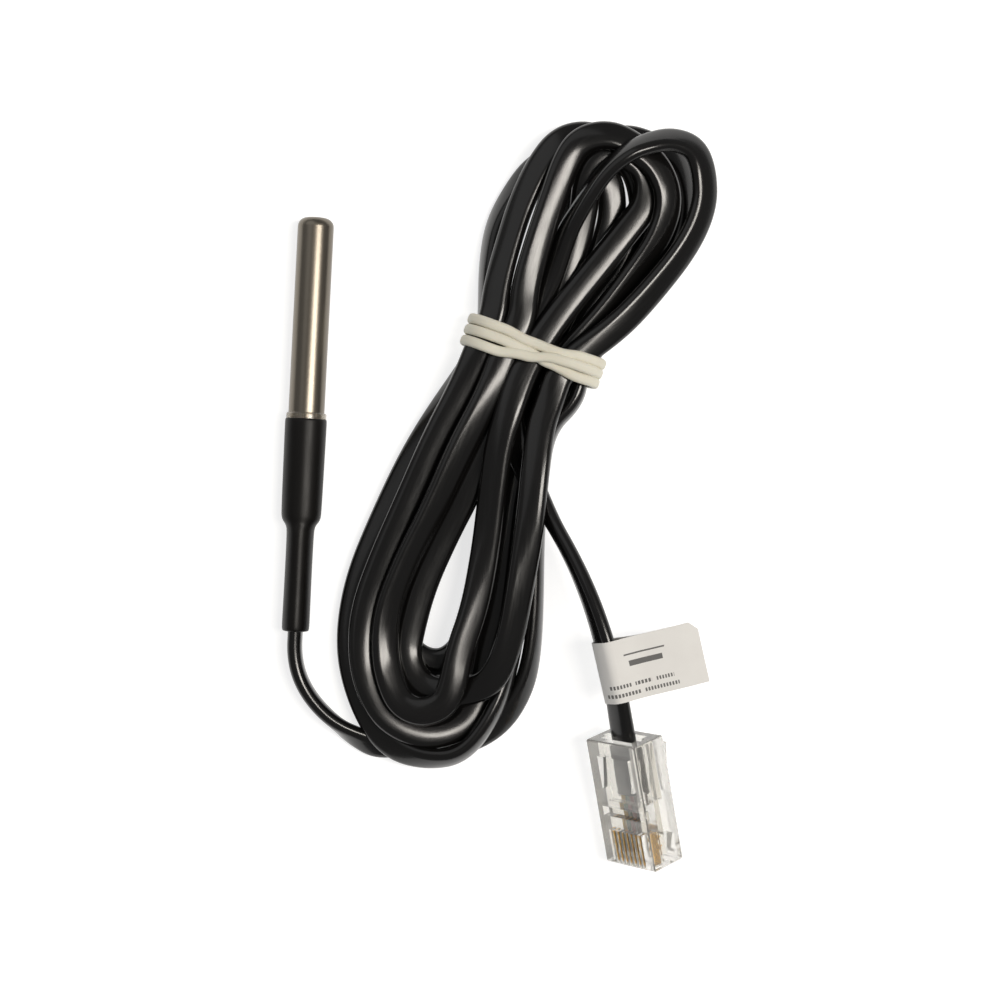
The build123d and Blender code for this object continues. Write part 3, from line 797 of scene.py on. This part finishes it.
# strip seen along the lead: outwards and upwards from the lead's middle, in mm
label_strip = [
    (15.20, 0.30), (14.20, 0.55), (12.60, 0.82), (10.60, 1.02), (8.40, 1.16), (6.60, 1.26), (5.20, 1.36),
    (3.60, 1.70), (2.20, 2.06), (0.95, 2.38), (0.35, 2.40), (-0.20, 2.18), (-0.62, 1.74), (-1.24, 0.76),
    (-1.84, -0.21), (-2.06, -1.03), (-1.77, -1.84), (-1.08, -2.35), (-0.23, -2.37), (0.50, -1.96),
    (1.80, -1.02), (3.20, -0.02), (4.40, 0.72), (5.60, 1.10), (6.80, 1.10), (8.40, 1.00), (10.60, 0.86),
    (12.60, 0.66), (14.20, 0.39), (15.20, 0.14),
]


def strip_point(out, up, along=0.0):
    return label_middle + flag_out * (out * MM) + flag_up * (up * MM) + lead_along * along


def fold_label(name):
    """Strip of paper that follows the fold, with its flag's upper corner clipped."""
    start_clean()
    first, second = strip_point(*label_strip[0]), strip_point(*label_strip[1])
    bpy.ops.mesh.primitive_plane_add(size=1, location=(0, 0, 0))
    paper = bpy.context.object
    paper.name = name
    half = lead_along * (label_height / 2)
    for vertex, place in zip(paper.data.vertices, (first - half, second - half, first + half, second + half)):
        vertex.co = place
    bpy.ops.object.mode_set(mode="EDIT")
    bpy.ops.mesh.select_mode(type="EDGE")
    bpy.ops.mesh.select_all(action="DESELECT")
    bpy.ops.object.mode_set(mode="OBJECT")
    for edge in paper.data.edges:
        edge.select = set(edge.vertices) == {1, 3}
    bpy.ops.object.mode_set(mode="EDIT")
    for before, after in zip(label_strip[1:], label_strip[2:]):
        step = strip_point(*after) - strip_point(*before)
        bpy.ops.mesh.extrude_region_move(TRANSFORM_OT_translate={"value": step})
    bpy.ops.mesh.select_all(action="SELECT")
    bpy.ops.mesh.bisect(plane_co=strip_point(*corner_clip, label_height / 2), plane_no=clip_facing,
                        clear_outer=True)
    bpy.ops.mesh.select_all(action="SELECT")
    bpy.ops.mesh.normals_make_consistent(inside=False)
    bpy.ops.object.mode_set(mode="OBJECT")
    paper.data.uv_layers.remove(paper.data.uv_layers[0])
    paper_uv = paper.data.uv_layers.new(name="across_the_flag")
    for loop in paper.data.loops:
        offset = paper.data.vertices[loop.vertex_index].co - label_middle
        paper_uv.data[loop.index].uv = (offset.dot(flag_out) / MM, offset.dot(lead_along) / MM)
    solidify = paper.modifiers.new("paper", "SOLIDIFY")
    solidify.thickness = paper_thickness
    solidify.offset = 0.0
    bpy.ops.object.modifier_apply(modifier=solidify.name)
    bpy.ops.object.shade_smooth_by_angle(angle=radians(40))
    return paper


label = fold_label("lead_label")
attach(label, "root")
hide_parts("cable_label")
print("label faces:", len(label.data.polygons))

# %% [markdown]
# The paper is matte and slightly warm, with a faint fibre. Its print is plain shapes: a bar under a
# thin line, and two rows of short dark dashes in groups. They are drawn from the label's own UV map,
# which counts millimetres out from the lead and along it. Each row is a mask that is one between two
# heights and two ends, times a saw wave that cuts it into dashes; a bar has no blank share.

# %% Finish of the label
label_paper, shader = new_finish(
    "label_paper", (0.75, 0.735, 0.71), (0.81, 0.80, 0.775), 0.75, 0.9, 2500.0, bump=0.15, depth=0.02)


def print_rows(finish, shader, rows, ink, cover=0.85):
    """Rows of plain dashes: (height, half thickness, start, end, dashes per mm, blank share)."""
    make, link = finish.node_tree.nodes.new, finish.node_tree.links.new

    def compute(operation, first, second):
        node = make("ShaderNodeMath")
        node.operation = operation
        for socket, value in zip(node.inputs, (first, second)):
            if isinstance(value, (int, float)):
                socket.default_value = value
            else:
                link(value, socket)
        return node.outputs[0]

    place, split = make("ShaderNodeTexCoord"), make("ShaderNodeSeparateXYZ")
    link(place.outputs["UV"], split.inputs[0])
    out, along = split.outputs["X"], split.outputs["Y"]
    total = 0.0
    for height, half, start, end, pitch, blank in rows:
        row = compute("LESS_THAN", compute("ABSOLUTE", compute("SUBTRACT", along, height), 0), half)
        reach = compute("MULTIPLY", compute("GREATER_THAN", out, start), compute("LESS_THAN", out, end))
        dash = compute("GREATER_THAN", compute("FRACT", compute("MULTIPLY", out, pitch), 0), blank)
        total = compute("MAXIMUM", total, compute("MULTIPLY", compute("MULTIPLY", row, reach), dash))
    inked = make("ShaderNodeMix")
    inked.data_type = "RGBA"
    paper_tone = shader.inputs["Base Color"].links[0].from_socket
    link(compute("MULTIPLY", total, cover), inked.inputs["Factor"])
    link(paper_tone, inked.inputs["A"])
    inked.inputs["B"].default_value = (*ink, 1)
    link(inked.outputs["Result"], shader.inputs["Base Color"])


dash_groups = [
    (-2.5, 0.30, -0.9, 2.6, 1.9, 0.40), (-2.5, 0.30, 3.3, 6.1, 1.7, 0.34), (-2.5, 0.30, 6.7, 9.8, 2.1, 0.44),
    (-3.9, 0.30, -1.4, 3.9, 1.8, 0.36), (-3.9, 0.30, 4.5, 10.4, 2.0, 0.40),
]
bars = [(0.9, 0.45, 3.0, 8.6, 1.0, -1.0), (2.4, 0.13, 2.4, 9.2, 1.0, -1.0)]
print_rows(label_paper, shader, dash_groups + bars, (0.03, 0.03, 0.03))
dress(label, label_paper)
print("finish:", label_paper.name)

# %% [markdown]
# The plug is moulded from clear plastic, and its solid already has the cavities, the pressed-in
# jaw and the latch, so it only needs a finish. Clear plastic is a transmitting shader: rays bend at
# each wall, and the cavities show as grey lines, as they do in a real plug. Inside it the four
# cores end under gold-plated contacts.

# %% Finishes of the plug
clear_plastic, shader = new_finish(
    "clear_plastic", (0.97, 0.955, 0.91), (1.0, 0.99, 0.96), 0.03, 0.10, 500.0, bump=0.03, depth=0.02)
shader.inputs["Transmission Weight"].default_value = 0.89
shader.inputs["IOR"].default_value = 1.53
dress(nodes["plug_housing"], clear_plastic)
gold_plate, shader = new_finish(
    "gold_plate", (0.84, 0.46, 0.04), (0.96, 0.60, 0.09), 0.18, 0.32, 1800.0, bump=0.05, depth=0.01)
shader.inputs["Metallic"].default_value = 1.0
contacts = [node for node in nodes if node.startswith("plug_contact_")]
for contact in contacts:
    dress(nodes[contact], gold_plate)
print("contacts in gold:", len(contacts))

# %% [markdown]
# The pieces inside the tube can't be seen in the closed probe, but they are part of the model: the
# moulded sensor, its tinned leads, the solder, the sleeves over the joints, the cores and their
# copper, and the resin round them. Each gets its own finish from the same group, so a cut-away
# view shows real materials too.

# %% Finishes of the wires and the inner pieces
core_tones = [(0.075, 0.055, 0.045), (0.20, 0.030, 0.022), (0.030, 0.11, 0.04), (0.66, 0.44, 0.07)]
bare_copper, shader = new_finish(
    "bare_copper", (0.62, 0.32, 0.18), (0.78, 0.46, 0.30), 0.22, 0.38, 3000.0, bump=0.08, depth=0.01)
shader.inputs["Metallic"].default_value = 1.0
for number, tone in enumerate(core_tones, 1):
    insulation, shader = new_finish(
        f"core_insulation_{number}", tone, tuple(value * 1.25 for value in tone), 0.24, 0.36, 2400.0)
    for place in ("probe", "plug"):
        dress(nodes[f"{place}_core_{number}"], insulation)
        dress(nodes[f"{place}_conductor_{number}"], bare_copper)

inner_finishes = {
    "sensor_chip": ("moulded_case", (0.020, 0.020, 0.021), (0.034, 0.034, 0.035), 0.50, 0.70, 0.0),
    "potting_compound": ("potting_resin", (0.040, 0.040, 0.042), (0.065, 0.064, 0.062), 0.30, 0.50, 0.0),
    "sensor_lead": ("tinned_lead", (0.60, 0.60, 0.60), (0.72, 0.72, 0.71), 0.20, 0.36, 1.0),
    "solder_joint": ("solder", (0.52, 0.53, 0.54), (0.66, 0.67, 0.68), 0.28, 0.46, 1.0),
    "joint_sleeve": ("joint_sleeve_skin", (0.035, 0.035, 0.036), (0.055, 0.055, 0.056), 0.40, 0.56, 0.0),
}
for start, (name, dark, light, gloss, dull, metal) in inner_finishes.items():
    inner_finish, shader = new_finish(name, dark, light, gloss, dull, 2000.0)
    shader.inputs["Metallic"].default_value = metal
    for node in nodes:
        if node.startswith(start):
            dress(nodes[node], inner_finish)
print("inner finishes:", len(inner_finishes))

# %% [markdown]
# The object lies on a plain white table under soft studio light. Black plastic and polished steel
# show mostly what they mirror, so the room matters as much as the lamps: it is an even soft grey,
# which leaves the flat faces dark. The table glows a little, so it stays white without strong lamps,
# and the clear plug over it isn't grey. A narrow, slightly warm soft box to the right makes the broad
# highlights, and a wide weak one at the upper left fills the shade.

# %% Table and lights
table_size = 12.0
room_grey = 0.22
object_middle = Vector((0.033, -0.010, 0.0))
start_clean()
bpy.ops.mesh.primitive_plane_add(size=table_size, location=(0, 0, 0))
table = bpy.context.object
table.name = "table"
table_white = bpy.data.materials.new("table_white")
table_white.use_nodes = True
paint = table_white.node_tree.nodes["Principled BSDF"]
paint.inputs["Base Color"].default_value = (0.55, 0.55, 0.55, 1)
paint.inputs["Roughness"].default_value = 0.9
paint.inputs["Specular IOR Level"].default_value = 0.1
paint.inputs["Emission Color"].default_value = (1, 1, 1, 1)
paint.inputs["Emission Strength"].default_value = 0.72
dress(table, table_white)


def soft_box(name, place, width, height, power, tint):
    """Lamp with a broad face that looks at the middle of the object."""
    data = bpy.data.lights.new(name, "AREA")
    data.shape = "RECTANGLE"
    data.size, data.size_y, data.energy, data.color = width, height, power, tint
    lamp = bpy.data.objects.new(name, data)
    lamp.location = place
    aim = object_middle - Vector(place)
    lamp.rotation_euler = aim.to_track_quat("-Z", "Y").to_euler()
    bpy.context.collection.objects.link(lamp)


room = bpy.data.worlds.new("room")
room.use_nodes = True
room.node_tree.nodes["Background"].inputs["Color"].default_value = (room_grey, room_grey, room_grey, 1)
bpy.context.scene.world = room
soft_box("right_box", (0.36, 0.02, 0.72), 0.14, 0.40, 4.2, (1.0, 0.95, 0.88))
soft_box("left_box", (-0.45, 0.50, 0.70), 0.90, 0.90, 1.3, (1.0, 1.0, 1.0))
bpy.context.scene.view_settings.view_transform = "Standard"
